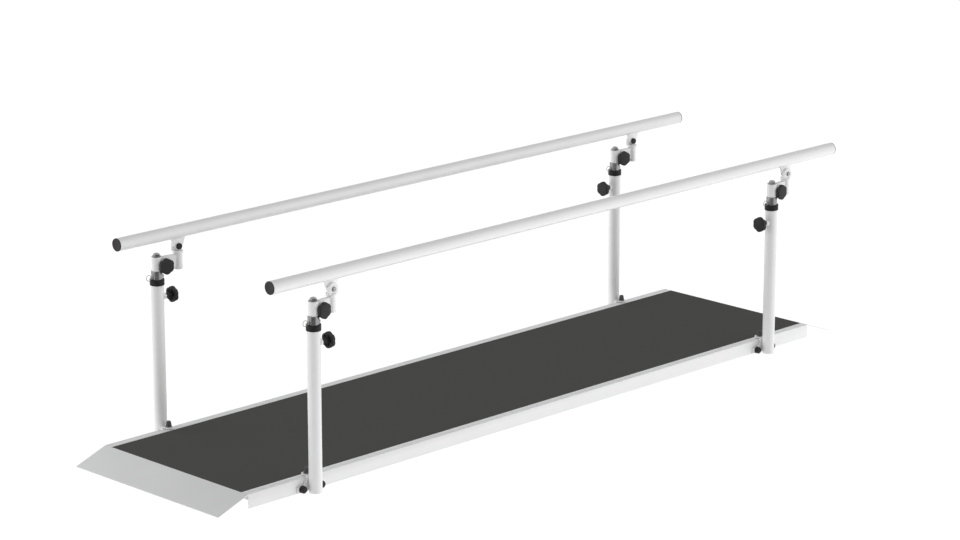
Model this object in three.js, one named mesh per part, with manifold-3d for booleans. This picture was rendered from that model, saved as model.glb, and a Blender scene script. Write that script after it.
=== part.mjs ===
// Walking parallel bars for gait training: two hand rails on four telescopic posts, bolted to a low
// platform with a ramp at each end. Millimetres, +Z up. The origin is on the floor under the middle of
// the platform. +X runs along the rails to the right end, and -Y is the front.

import * as THREE from "three";
import { mergeVertices } from "three/addons/utils/BufferGeometryUtils.js";
import Module from "manifold-3d";

const wasm = await Module();
wasm.setup();

// Fits
const gap = 0.3; // left between pieces that touch or turn in each other
const overrun = 1; // how far a cut runs past the surface it leaves
const weld = 0.5; // how far two welded shapes reach into each other
const mergeDistance = 0.001;

// Platform
const platformLength = 2998;
const platformWidth = 777;
const platformHeight = 52.5;
const sideRailWall = 3;
const flangeWidth = 35;
const flangeWall = 3.3;
const grooveWidth = 2;
const grooveDepth = 1;
const grooveInset = 12;
const deckThickness = 17.7;
const matThickness = 3;
const crossMemberWidth = 40;
const crossMemberWall = 3;
const rampRun = 137;
const rampSheet = 3;
const rampLip = 12;
const rampToeHeight = 3; // the sheet's cut end at the floor

// Posts
const postInset = 282; // from the platform's end to a post's axis
const postDiameter = 48;
const postWall = 2;
const postFoot = 4;
const footChamfer = 2.5;
const slideFit = 0.8; // round the inner tube in its post

// Foot bracket of a post
const bracketThickness = 8; // between the post and the side rail
const bracketTopWidth = 34;
const bracketBottomWidth = 122;
const bracketBottomGap = 3;
const bracketToeHeight = 24;
const hookWidth = 32;
const hookRise = 3; // above the side rail's flange
const hookEdge = 0.5; // kept back from the flange's inner edge
const hookThickness = 4;
const hookCorner = 15;
const baseBoltSpread = 86;
const baseBoltHeight = 16;
const baseBoltDiameter = 10;
const baseBoltCapDiameter = 24;
const baseBoltCapLength = 18;
const baseBoltTail = 8;
const hookBoltInset = 13.4; // from the side rail's outer face
const hookCapDiameter = 21;
const hookCapLength = 24;

// Collar on the post's top
const collarWall = 3;
const collarSkirt = 19;
const collarLip = 3.7;
const collarChamfer = 1.6;

// Inner tube with its top plug and spindle
const innerTubeWall = 2.5;
const innerTubeRest = 72.5; // the lower end's height at the lowest setting
const innerTubeShow = 30; // above the collar
const plugLength = 12;
const spindleDiameter = 25;
const threadDiameter = 16;
const threadShort = 0.4; // kept below the nut's top

// Lock pin and its ring
const pinDiameter = 12;
const pinTail = 8;
const pinChamfer = 1.5;
const pinHolePitch = 40;
const pinHoleCount = 7;
const pinHead = 3; // plain length beyond the inner tube before the flat tab
const tabLength = 7;
const tabWidth = 9;
const tabThickness = 4;
const tabHoleDiameter = 3.8;
const tabHoleInset = 3.3; // from the tab's free end
const ringDiameter = 21;
const ringWire = 2.2;
const ringLift = THREE.MathUtils.degToRad(12);

// Swing arm
const hubWall = 6.5; // round the spindle
const hubLength = 51.8;
const armReach = 93;
const railInset = 10.2; // how far the rail lies inside the line of its posts
const webThickness = 18;
const webTopInset = 3;
const webBottomInset = 3.2;
const clampSlotWidth = 2.5;
const clampSlotEnd = 48;
const endTubeWall = 7; // round the ear's pin
const endTubeDrop = 8; // below the hub's lower end
const endTubeChamfer = 2.5;

// Nut on the spindle
const washerDiameter = 36;
const washerThickness = 2.4;
const nutAcrossCorners = 26;
const nutSides = 6;
const nutHeight = 7;
const nutDomeHeight = 4.6;
const nutDomeBase = 23;
const nutDomeCrown = 11;

// Clamp knobs
const knobDiameter = 60;
const knobLobes = 6;
const knobLobeDepth = 3.4;
const knobThickness = 16;
const knobChamfer = 2.5;
const studDiameter = 10;
const armKnobHubDiameter = 14;
const armKnobReach = 24; // from the post axis along the arm
const armKnobRise = 17.5; // above the hub's lower end
const armKnobClearance = 0.8; // from the inner tube's side to the knob's back
const armStudTail = 4;
const heightKnobDrop = 67; // below the post's top
const heightKnobHubDiameter = 20;
const heightKnobHubLength = 24;
const heightStudShow = 2; // bare between the boss and the knob's hub
const bossDiameter = 22;
const bossLength = 12;

// Swivel ear
const earFlangeRim = 4; // past the end tube all round
const earFlangeThickness = 9.5;
const earPinDiameter = 18;
const earPinTail = 5; // kept back from the end tube's lower end
const earWidth = 45;
const earThickness = 10;

// Pivot bolt
const pivotRise = 25; // above the swing arm's top
const lugDrop = 31; // from the rail's underside to the pivot
const pivotBoltDiameter = 10;
const pivotHeadDiameter = 18;
const pivotHeadLength = 6.5;
const pivotCapDiameter = 23;
const pivotCapLength = 9;

// Hand rails
const railHeight = 773.2; // of the rail's axis at the lowest setting
const railOverhang = 283; // past the lug at each end
const railDiameter = 48;
const railWall = 2;
const lugTopWidth = 64;
const lugShoulderWidth = 48;
const lugShoulderRise = 6; // above the pivot
const lugBottomWidth = 18;
const lugBottomDrop = 8.5; // below the pivot
const lugTailWidth = 10;
const lugThickness = 8;
const lugClearance = 1.7; // between the lug's lower edge and the ear's flange
const lugSlotLength = 4.8; // lets the right pivot creep along the rail as the rail tilts
const railCapThickness = 3;
const railPlugLength = 20;

// Facets round a full circle
const tubeFacets = 16;
const smallFacets = 12;
const holeFacets = 6;
const wireFacets = 5;
const ringSteps = 14;
const cornerSteps = 2;
const earSteps = 8;
const lobeSteps = 4;

// Colours
const white = { color: 0xf2f3f2, roughness: 0.35, metalness: 0 };
const aluminium = { color: 0xc9cbc9, roughness: 0.45, metalness: 0.6 };
const steel = { color: 0x9a9c98, roughness: 0.35, metalness: 0.9 };
const blackPlastic = { color: 0x2b2b2a, roughness: 0.6, metalness: 0 };
const darkMat = { color: 0x474744, roughness: 0.9, metalness: 0 };
const laminate = { color: 0xd6d6d1, roughness: 0.5, metalness: 0 };

// Diameters and reaches that follow from the sizes above
const innerTubeDiameter = postDiameter - 2 * (postWall + slideFit);
const collarDiameter = postDiameter + 2 * collarWall;
const hubDiameter = spindleDiameter + 2 * hubWall;
const endTubeDiameter = earPinDiameter + 2 * endTubeWall;
const earFlangeDiameter = endTubeDiameter + 2 * earFlangeRim;
const postStandOff = postDiameter / 2 + bracketThickness + gap; // from the side rail to a post's axis
const armKnobStandOff = innerTubeDiameter / 2 + armKnobClearance;
const heightKnobStandOff = postDiameter / 2 + bossLength + heightStudShow + heightKnobHubLength;
const threadLength = washerThickness + nutHeight - threadShort;

// Heights and angles that follow from the sizes above
const pivotDrop = railDiameter / 2 + lugDrop;
const lugTail = pivotRise - gap - earFlangeThickness - lugClearance; // below the pivot
const flangeUnderside = platformHeight - flangeWall;
const deckTop = flangeUnderside - gap;
const deckBottom = deckTop - deckThickness;
const matBottom = deckTop + gap;
const pivotHeight = railHeight - pivotDrop;
const hubTop = pivotHeight - pivotRise;
const hubBottom = hubTop - hubLength;
const endTubeBottom = hubBottom - endTubeDrop;
const shoulderHeight = hubBottom - gap;
const collarTop = shoulderHeight - innerTubeShow;
const pinHeight = collarTop + gap + pinDiameter / 2;
const postHeight = collarTop - collarLip - gap;
const heightKnobHeight = postHeight - heightKnobDrop;
const armAngle = Math.asin(railInset / armReach);
const armAlong = armReach * Math.cos(armAngle);

// Lengths along and across the platform that follow from the sizes above
const postSpan = platformLength - 2 * postInset; // between the post axes of one side
const postSpread = platformWidth + 2 * postStandOff; // between the post axes of one end
const railLength = postSpan + 2 * railOverhang;

// A closed profile of [radius, height] pairs turned about Z.
function turned(profile, facets) {
  const points = profile.map(([radius, height]) => new THREE.Vector2(radius, height));
  return new THREE.LatheGeometry(points, facets).rotateX(Math.PI / 2);
}

function rod(diameter, bottom, top, facets) {
  return turned([[0, bottom], [diameter / 2, bottom], [diameter / 2, top], [0, top]], facets);
}

// A cutting rod whose flats, not its corners, lie at the stated diameter.
function drill(diameter, bottom, top, facets) {
  return rod(diameter / Math.cos(Math.PI / facets), bottom, top, facets);
}

function pipe(outerDiameter, innerDiameter, bottom, top, facets) {
  const outer = outerDiameter / 2;
  const inner = innerDiameter / 2;
  return turned([[outer, bottom], [outer, top], [inner, top], [inner, bottom], [outer, bottom]], facets);
}

function box(lowX, highX, lowY, highY, lowZ, highZ) {
  const geometry = new THREE.BoxGeometry(highX - lowX, highY - lowY, highZ - lowZ);
  return geometry.translate((lowX + highX) / 2, (lowY + highY) / 2, (lowZ + highZ) / 2);
}

// An outline of [x, z] pairs that stands in the XZ plane and runs from lowY to highY.
function upright(outline, lowY, highY) {
  const shape = new THREE.Shape(outline.map(([x, z]) => new THREE.Vector2(x, z)));
  const depth = highY - lowY;
  const geometry = new THREE.ExtrudeGeometry(shape, { depth, bevelEnabled: false });
  return geometry.rotateX(Math.PI / 2).translate(0, highY, 0);
}

// An outline of [y, z] pairs that runs along X from lowX to highX.
function lengthwise(outline, lowX, highX) {
  const shape = new THREE.Shape(outline.map(([y, z]) => new THREE.Vector2(y, z)));
  const depth = highX - lowX;
  const geometry = new THREE.ExtrudeGeometry(shape, { depth, bevelEnabled: false });
  return geometry.rotateX(Math.PI / 2).rotateZ(Math.PI / 2).translate(lowX, 0, 0);
}

// A rod or pipe made along Z is laid along X or Y.
function alongX(geometry) {
  return geometry.rotateY(Math.PI / 2);
}

function alongY(geometry) {
  return geometry.rotateX(-Math.PI / 2);
}

function solidOf(geometry) {
  const bare = geometry.index ? geometry.toNonIndexed() : geometry.clone();
  bare.deleteAttribute("normal");
  bare.deleteAttribute("uv");
  const merged = mergeVertices(bare, mergeDistance);
  const vertProperties = merged.attributes.position.array;
  const triVerts = new Uint32Array(merged.index.array);
  return new wasm.Manifold(new wasm.Mesh({ numProp: 3, vertProperties, triVerts }));
}

function geometryOf(solid) {
  const mesh = solid.getMesh();
  const geometry = new THREE.BufferGeometry();
  geometry.setAttribute("position", new THREE.BufferAttribute(mesh.vertProperties, 3));
  geometry.setIndex(new THREE.BufferAttribute(mesh.triVerts, 1));
  const flat = geometry.toNonIndexed();
  flat.computeVertexNormals();
  return flat;
}

// Joins the added shapes, then takes the cut ones away.
function built(added, cut = []) {
  let solid = solidOf(added[0]);
  for (const geometry of added.slice(1)) {
    solid = solid.add(solidOf(geometry));
  }
  for (const geometry of cut) {
    solid = solid.subtract(solidOf(geometry));
  }
  return geometryOf(solid);
}

function piece(name, geometry, finish) {
  const mesh = new THREE.Mesh(geometry, new THREE.MeshStandardMaterial(finish));
  mesh.name = name;
  return mesh;
}

// Platform

function sideRail(side) {
  const outer = platformWidth / 2;
  const grooveStart = outer - grooveInset;
  const profile = [
    [outer, 0],
    [outer, platformHeight],
    [grooveStart, platformHeight],
    [grooveStart, platformHeight - grooveDepth],
    [grooveStart - grooveWidth, platformHeight - grooveDepth],
    [grooveStart - grooveWidth, platformHeight],
    [outer - flangeWidth, platformHeight],
    [outer - flangeWidth, flangeUnderside],
    [outer - sideRailWall, flangeUnderside],
    [outer - sideRailWall, 0],
  ];
  const bar = lengthwise(profile, -platformLength / 2, platformLength / 2);
  const boltHoles = [];
  for (const end of [-1, 1]) {
    const postX = (end * postSpan) / 2;
    const hole = baseBoltDiameter + 2 * gap;
    const hook = drill(hole, flangeUnderside - overrun, platformHeight + overrun, holeFacets);
    boltHoles.push(hook.translate(postX, outer - hookBoltInset, 0));
    for (const way of [-1, 1]) {
      const through = alongY(drill(hole, outer - sideRailWall - overrun, outer + overrun, holeFacets));
      boltHoles.push(through.translate(postX + (way * baseBoltSpread) / 2, 0, baseBoltHeight));
    }
  }
  const geometry = built([bar], boltHoles);
  return side > 0 ? geometry : geometry.rotateZ(Math.PI);
}

function deckBoard() {
  const halfLength = platformLength / 2;
  const halfWidth = platformWidth / 2 - sideRailWall - gap;
  return box(-halfLength, halfLength, -halfWidth, halfWidth, deckBottom, deckTop);
}

function mat() {
  const halfLength = platformLength / 2 - rampLip - gap;
  const halfWidth = platformWidth / 2 - flangeWidth - gap;
  return box(-halfLength, halfLength, -halfWidth, halfWidth, matBottom, matBottom + matThickness);
}

function crossMember() {
  const halfWidth = crossMemberWidth / 2;
  const halfLength = platformWidth / 2 - sideRailWall - gap;
  const top = deckBottom - gap;
  const inner = halfWidth - crossMemberWall;
  const bar = box(-halfWidth, halfWidth, -halfLength, halfLength, 0, top);
  const hollow = box(
    -inner,
    inner,
    -halfLength - overrun,
    halfLength + overrun,
    crossMemberWall,
    top - crossMemberWall,
  );
  return built([bar], [hollow]);
}

function ramp(end) {
  const start = platformLength / 2;
  const toe = start + rampRun;
  const lipTop = matBottom + rampSheet;
  const slope = (lipTop - rampToeHeight) / rampRun;
  const sheetDrop = rampSheet * Math.hypot(1, slope);
  const outline = [
    [start - rampLip, matBottom],
    [start, matBottom],
    [start + gap, lipTop - slope * gap - sheetDrop],
    [start + (lipTop - sheetDrop) / slope, 0],
    [toe, 0],
    [toe, rampToeHeight],
    [start, lipTop],
    [start - rampLip, lipTop],
  ];
  const halfWidth = platformWidth / 2;
  const lipHalfWidth = halfWidth - flangeWidth - gap;
  const corners = [-1, 1].map((side) => {
    const near = side * lipHalfWidth;
    const far = side * (halfWidth + overrun);
    return box(
      start - rampLip - overrun,
      start + gap,
      Math.min(near, far),
      Math.max(near, far),
      0,
      platformHeight + overrun,
    );
  });
  const geometry = built([upright(outline, -halfWidth, halfWidth)], corners);
  return end > 0 ? geometry : geometry.rotateZ(Math.PI);
}

// Posts. In a post's own frame its axis is the origin, the platform lies on the +Y side and the height
// knob on the +X side; the corner turns the foot and the boss to where they belong.

function footBracket() {
  const plateBack = postDiameter / 2 - weld;
  const plateFace = postStandOff - gap;
  const hookBottom = platformHeight + hookRise;
  const top = hookBottom + hookThickness;
  const halfTop = bracketTopWidth / 2;
  const halfBottom = bracketBottomWidth / 2;
  const flare = new THREE.QuadraticBezierCurve(
    new THREE.Vector2(halfBottom, bracketToeHeight),
    new THREE.Vector2(halfTop, bracketToeHeight),
    new THREE.Vector2(halfTop, top),
  );
  const side = flare.getPoints(2 * cornerSteps).map((point) => [point.x, point.y]);
  const otherSide = side.map(([x, z]) => [-x, z]).reverse();
  const outline = [
    [-halfBottom, bracketBottomGap],
    [halfBottom, bracketBottomGap],
    ...side,
    ...otherSide,
  ];
  const plate = upright(outline, plateBack, plateFace);
  const hookShape = new THREE.Shape();
  const halfHook = hookWidth / 2;
  const hookEnd = postStandOff + flangeWidth - hookEdge;
  hookShape.moveTo(-halfHook, plateBack);
  hookShape.lineTo(halfHook, plateBack);
  hookShape.lineTo(halfHook, hookEnd - hookCorner);
  hookShape.quadraticCurveTo(halfHook, hookEnd, halfHook - hookCorner, hookEnd);
  hookShape.lineTo(hookCorner - halfHook, hookEnd);
  hookShape.quadraticCurveTo(-halfHook, hookEnd, -halfHook, hookEnd - hookCorner);
  const hookOptions = { depth: hookThickness, bevelEnabled: false, curveSegments: cornerSteps };
  const hook = new THREE.ExtrudeGeometry(hookShape, hookOptions);
  hook.translate(0, 0, hookBottom);
  const boltY = postStandOff + hookBoltInset;
  const capBottom = top - weld;
  const hookCap = rod(hookCapDiameter, capBottom, top + hookCapLength, smallFacets);
  const hookBolt = rod(baseBoltDiameter, flangeUnderside, top, holeFacets);
  const shapes = [plate, hook, hookCap.translate(0, boltY, 0), hookBolt.translate(0, boltY, 0)];
  for (const way of [-1, 1]) {
    const boltX = (way * baseBoltSpread) / 2;
    const capEnd = plateBack - baseBoltCapLength;
    const cap = alongY(rod(baseBoltCapDiameter, capEnd, plateBack + weld, smallFacets));
    const shankEnd = postStandOff + sideRailWall + baseBoltTail;
    const shank = alongY(rod(baseBoltDiameter, plateBack, shankEnd, holeFacets));
    shapes.push(cap.translate(boltX, 0, baseBoltHeight));
    shapes.push(shank.translate(boltX, 0, baseBoltHeight));
  }
  return shapes;
}

function post(end, side) {
  const outer = postDiameter / 2;
  const inner = outer - postWall;
  const profile = [
    [0, 0],
    [outer - footChamfer, 0],
    [outer, footChamfer],
    [outer, postHeight],
    [inner, postHeight],
    [inner, postFoot],
    [0, postFoot],
  ];
  const tube = turned(profile, tubeFacets);
  const footTurn = side > 0 ? Math.PI : 0;
  const foot = footBracket().map((geometry) => geometry.rotateZ(footTurn));
  const bossTurn = end > 0 ? Math.PI : 0;
  const boss = alongX(rod(bossDiameter, inner + weld, outer + bossLength, smallFacets));
  const studHole = alongX(drill(studDiameter + 2 * gap, 0, outer + bossLength + overrun, smallFacets));
  for (const geometry of [boss, studHole]) {
    geometry.rotateZ(bossTurn).translate(0, 0, heightKnobHeight);
  }
  const bore = rod(2 * inner, postFoot, postHeight + overrun, tubeFacets);
  return built([tube, ...foot, boss], [bore, studHole]);
}

function collar() {
  const outer = collarDiameter / 2;
  const guide = innerTubeDiameter / 2 + gap;
  const seat = postDiameter / 2 + gap;
  const bottom = postHeight - collarSkirt;
  const profile = [
    [seat, bottom],
    [outer - collarChamfer, bottom],
    [outer, bottom + collarChamfer],
    [outer, collarTop - collarChamfer],
    [outer - collarChamfer, collarTop],
    [guide, collarTop],
    [guide, postHeight + gap],
    [seat, postHeight + gap],
    [seat, bottom],
  ];
  return turned(profile, tubeFacets);
}

function innerTube() {
  const outer = innerTubeDiameter / 2;
  const inner = outer - innerTubeWall;
  const spindle = spindleDiameter / 2;
  const thread = threadDiameter / 2;
  const plugBottom = shoulderHeight - plugLength;
  const profile = [
    [0, plugBottom],
    [inner, plugBottom],
    [inner, innerTubeRest],
    [outer, innerTubeRest],
    [outer, shoulderHeight],
    [spindle, shoulderHeight],
    [spindle, hubTop],
    [thread, hubTop],
    [thread, hubTop + threadLength],
    [0, hubTop + threadLength],
  ];
  const holes = [];
  for (let step = 0; step < pinHoleCount; step += 1) {
    const hole = alongX(drill(pinDiameter + 2 * gap, -outer - overrun, outer + overrun, holeFacets));
    holes.push(hole.translate(0, 0, pinHeight - step * pinHolePitch));
  }
  return built([turned(profile, tubeFacets)], holes);
}

// The lock pin lies along X with its ring on the -X side. Its origin is on the post axis.

function lockPin() {
  const radius = pinDiameter / 2;
  const reach = innerTubeDiameter / 2;
  const tail = reach + pinTail;
  const head = -reach - pinHead;
  const profile = [
    [0, head],
    [radius, head],
    [radius, tail - pinChamfer],
    [radius - pinChamfer, tail],
    [0, tail],
  ];
  const shank = alongX(turned(profile, smallFacets));
  const halfTab = tabThickness / 2;
  const tab = box(head - tabLength, head + weld, -tabWidth / 2, tabWidth / 2, -halfTab, halfTab);
  const hole = drill(tabHoleDiameter, -halfTab - overrun, halfTab + overrun, holeFacets);
  const holeX = head - tabLength + tabHoleInset;
  return built([shank, tab], [hole.translate(holeX, 0, 0)]);
}

function pinRing() {
  const radius = ringDiameter / 2;
  const ring = new THREE.TorusGeometry(radius, ringWire / 2, wireFacets, ringSteps);
  return ring.rotateX(Math.PI / 2).translate(-radius * Math.cos(ringLift), 0, radius * Math.sin(ringLift));
}

// Swing arm. Its origin is on the post axis and it reaches along +X.

function swingArm() {
  const halfWeb = webThickness / 2;
  const boreDiameter = spindleDiameter + 2 * gap;
  const pinBore = earPinDiameter + 2 * gap;
  const hub = rod(hubDiameter, hubBottom, hubTop, tubeFacets);
  const endRadius = endTubeDiameter / 2;
  const endProfile = [
    [0, endTubeBottom],
    [endRadius - endTubeChamfer, endTubeBottom],
    [endRadius, endTubeBottom + endTubeChamfer],
    [endRadius, hubTop],
    [0, hubTop],
  ];
  const endTube = turned(endProfile, tubeFacets).translate(armReach, 0, 0);
  const web = box(0, armReach, -halfWeb, halfWeb, hubBottom + webBottomInset, hubTop - webTopInset);
  const low = endTubeBottom - overrun;
  const high = hubTop + overrun;
  const hubBore = drill(boreDiameter, low, high, tubeFacets);
  const endBore = drill(pinBore, low, high, smallFacets).translate(armReach, 0, 0);
  const halfSlot = clampSlotWidth / 2;
  const slot = box(0, clampSlotEnd, -halfSlot, halfSlot, low, high);
  const stud = studDiameter + 2 * gap;
  const studHole = alongY(drill(stud, -halfWeb - overrun, halfWeb + overrun, smallFacets));
  studHole.translate(armKnobReach, 0, hubBottom + armKnobRise);
  return built([hub, endTube, web], [hubBore, endBore, slot, studHole]);
}

function armNut() {
  const bottom = hubTop + gap;
  const washerTop = bottom + washerThickness;
  const nutTop = washerTop + nutHeight;
  const washer = rod(washerDiameter, bottom, washerTop, tubeFacets);
  const nut = rod(nutAcrossCorners, washerTop - weld, nutTop, nutSides);
  const dome = turned(
    [
      [0, nutTop - weld],
      [nutDomeBase / 2, nutTop - weld],
      [nutDomeCrown / 2, nutTop + nutDomeHeight],
      [0, nutTop + nutDomeHeight],
    ],
    smallFacets,
  );
  const bore = drill(threadDiameter + 2 * gap, bottom - overrun, hubTop + threadLength + gap, smallFacets);
  return built([washer, nut, dome], [bore]);
}

// A lobed knob with its hub and stud along Z: the stud's free end at studEnd, the knob's back at back.

function lobeOutline(radius) {
  const points = [];
  const count = knobLobes * lobeSteps;
  for (let index = 0; index < count; index += 1) {
    const angle = (index / count) * 2 * Math.PI;
    const wave = (1 + Math.cos(knobLobes * angle)) / 2;
    const reach = radius - knobLobeDepth * (1 - Math.sqrt(wave));
    points.push(new THREE.Vector2(reach * Math.cos(angle), reach * Math.sin(angle)));
  }
  return new THREE.Shape(points);
}

function clampKnob(studEnd, hubStart, back, hubDiameter) {
  const outline = lobeOutline(knobDiameter / 2 - knobChamfer);
  const options = {
    depth: knobThickness - 2 * knobChamfer,
    bevelThickness: knobChamfer,
    bevelSize: knobChamfer,
    bevelSegments: 1,
  };
  const disc = new THREE.ExtrudeGeometry(outline, options).translate(0, 0, back + knobChamfer);
  const hub = rod(hubDiameter, hubStart, back + weld, smallFacets);
  const stud = rod(studDiameter, studEnd, hubStart + weld, smallFacets);
  return built([disc, hub, stud]);
}

function armKnob() {
  const halfWeb = webThickness / 2;
  const studEnd = -halfWeb - armStudTail;
  const knob = clampKnob(studEnd, halfWeb + gap, armKnobStandOff, armKnobHubDiameter);
  return knob.rotateZ(Math.PI / knobLobes).rotateX(Math.PI / 2);
}

function heightKnob() {
  const studEnd = innerTubeDiameter / 2 + gap;
  const hubStart = heightKnobStandOff - heightKnobHubLength;
  return alongX(clampKnob(studEnd, hubStart, heightKnobStandOff, heightKnobHubDiameter));
}

// Swivel ear. Its origin is on the end tube's axis, and the ear stands on the -Y side.

function swivelEar() {
  const flangeBottom = hubTop + gap;
  const flangeTop = flangeBottom + earFlangeThickness;
  const flange = rod(earFlangeDiameter, flangeBottom, flangeTop, tubeFacets);
  const pin = rod(earPinDiameter, endTubeBottom + earPinTail, flangeBottom + weld, smallFacets);
  const halfWidth = earWidth / 2;
  const face = lugThickness / 2 + gap;
  const outline = [[-halfWidth, flangeTop - weld], [halfWidth, flangeTop - weld]];
  for (let step = 0; step <= earSteps; step += 1) {
    const angle = (step / earSteps) * Math.PI;
    outline.push([halfWidth * Math.cos(angle), pivotHeight + halfWidth * Math.sin(angle)]);
  }
  const backOfEar = -face - earThickness;
  const ear = upright(outline, backOfEar, -face);
  const boreDiameter = pivotBoltDiameter + 2 * gap;
  const hole = alongY(drill(boreDiameter, backOfEar - overrun, overrun - face, smallFacets));
  return built([flange, pin, ear], [hole.translate(0, 0, pivotHeight)]);
}

function pivotBolt() {
  const earFace = -lugThickness / 2 - gap - earThickness;
  const capFace = lugThickness / 2 + gap;
  const shank = alongY(rod(pivotBoltDiameter, earFace - gap - weld, capFace + weld, smallFacets));
  const headFace = earFace - gap;
  const head = alongY(rod(pivotHeadDiameter, headFace - pivotHeadLength, headFace, smallFacets));
  const cap = alongY(rod(pivotCapDiameter, capFace, capFace + pivotCapLength, smallFacets));
  return built([shank, head, cap]);
}

// Hand rail. Its origin is the middle of its axis.

function handRail() {
  const halfLength = railLength / 2 - railCapThickness - gap;
  const bore = railDiameter - 2 * railWall;
  const tube = alongX(pipe(railDiameter, bore, -halfLength, halfLength, tubeFacets));
  const lugTop = -bore / 2 - railWall / 2;
  const shapes = [tube];
  const holes = [];
  for (const end of [-1, 1]) {
    const lugX = (end * postSpan) / 2;
    const halfOutline = [
      [lugTopWidth / 2, lugTop],
      [lugShoulderWidth / 2, lugShoulderRise - pivotDrop],
      [lugBottomWidth / 2, -lugBottomDrop - pivotDrop],
      [lugTailWidth / 2, -lugTail - pivotDrop],
    ];
    const outline = [
      ...halfOutline.map(([half, z]) => [lugX - half, z]),
      ...halfOutline.reverse().map(([half, z]) => [lugX + half, z]),
    ];
    shapes.push(upright(outline, -lugThickness / 2, lugThickness / 2));
    const holeDiameter = pivotBoltDiameter + 2 * gap;
    const reach = lugThickness / 2 + overrun;
    const creep = end > 0 ? lugSlotLength / 2 : 0;
    for (const way of creep > 0 ? [-1, 1] : [0]) {
      const hole = alongY(drill(holeDiameter, -reach, reach, smallFacets));
      holes.push(hole.translate(lugX + way * creep, 0, -pivotDrop));
    }
    if (creep > 0) {
      const half = holeDiameter / 2;
      holes.push(box(lugX - creep, lugX + creep, -reach, reach, -pivotDrop - half, half - pivotDrop));
    }
  }
  return built(shapes, holes);
}

function railCap(end) {
  const plug = railDiameter / 2 - railWall - gap;
  const rim = railDiameter / 2;
  const top = railLength / 2;
  const under = top - railCapThickness;
  const profile = [
    [0, under - railPlugLength],
    [plug, under - railPlugLength],
    [plug, under],
    [rim, under],
    [rim, top],
    [0, top],
  ];
  const cap = alongX(turned(profile, tubeFacets));
  return end > 0 ? cap : cap.rotateZ(Math.PI);
}

// Assembly

const bars = new THREE.Group();
const sideNames = { "-1": "front", 1: "back" };
const endNames = { "-1": "left", 1: "right" };

function addPlatform() {
  const platform = new THREE.Group();
  platform.add(piece("deck_board", deckBoard(), laminate));
  platform.add(piece("mat", mat(), darkMat));
  const places = { left: -1, middle: 0, right: 1 };
  for (const [place, way] of Object.entries(places)) {
    const member = piece(`cross_member_${place}`, crossMember(), aluminium);
    member.position.x = (way * postSpan) / 2;
    platform.add(member);
  }
  for (const way of [-1, 1]) {
    platform.add(piece(`${sideNames[way]}_side_rail`, sideRail(way), aluminium));
    platform.add(piece(`${endNames[way]}_ramp`, ramp(way), aluminium));
  }
  bars.add(platform);
}

function addCorner(end, side) {
  const name = `${sideNames[side]}_${endNames[end]}`;
  const corner = new THREE.Group();
  corner.position.set((end * postSpan) / 2, (side * postSpread) / 2, 0);
  corner.add(piece(`${name}_post`, post(end, side), white));
  corner.add(piece(`${name}_collar`, collar(), blackPlastic));
  corner.add(piece(`${name}_inner_tube`, innerTube(), steel));
  corner.add(piece(`${name}_arm_nut`, armNut(), steel));

  const pin = piece(`${name}_lock_pin`, lockPin(), steel);
  pin.position.z = pinHeight;
  const ring = piece(`${name}_pin_ring`, pinRing(), steel);
  const holeX = -innerTubeDiameter / 2 - pinHead - tabLength + tabHoleInset;
  ring.position.set(holeX, 0, pinHeight);
  corner.add(pin, ring);

  const heightClamp = piece(`${name}_height_knob`, heightKnob(), blackPlastic);
  heightClamp.position.z = heightKnobHeight;
  heightClamp.rotation.z = end > 0 ? Math.PI : 0;
  corner.add(heightClamp);

  const arm = new THREE.Group();
  arm.rotation.z = -side * armAngle;
  arm.add(piece(`${name}_swing_arm`, swingArm(), white));
  const armClamp = piece(`${name}_arm_knob`, armKnob(), blackPlastic);
  armClamp.position.set(armKnobReach, 0, hubBottom + armKnobRise);
  arm.add(armClamp);
  corner.add(arm);

  const swivel = new THREE.Group();
  swivel.position.set(armAlong, -side * railInset, 0);
  swivel.rotation.z = side > 0 ? Math.PI : 0;
  swivel.add(piece(`${name}_swivel_ear`, swivelEar(), white));
  const bolt = piece(`${name}_pivot_bolt`, pivotBolt(), steel);
  bolt.position.z = pivotHeight;
  swivel.add(bolt);
  corner.add(swivel);
  bars.add(corner);
}

function addRail(side) {
  const name = `${sideNames[side]}_rail`;
  const rail = new THREE.Group();
  rail.position.set(armAlong, side * (postSpread / 2 - railInset), railHeight);
  rail.add(piece(name, handRail(), white));
  for (const end of [-1, 1]) {
    rail.add(piece(`${name}_${endNames[end]}_cap`, railCap(end), blackPlastic));
  }
  bars.add(rail);
}

addPlatform();
for (const side of [-1, 1]) {
  addRail(side);
  for (const end of [-1, 1]) {
    addCorner(end, side);
  }
}

export default bars;
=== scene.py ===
"""Walking parallel bars for gait training: two hand rails on four telescopic posts, bolted to a
low platform with a ramp at each end. Run as a script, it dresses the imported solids."""

import math

import bmesh
import bpy
from bpy.types import NodeSocket, Operator, Panel, PropertyGroup
from mathutils import Matrix, Vector


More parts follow.
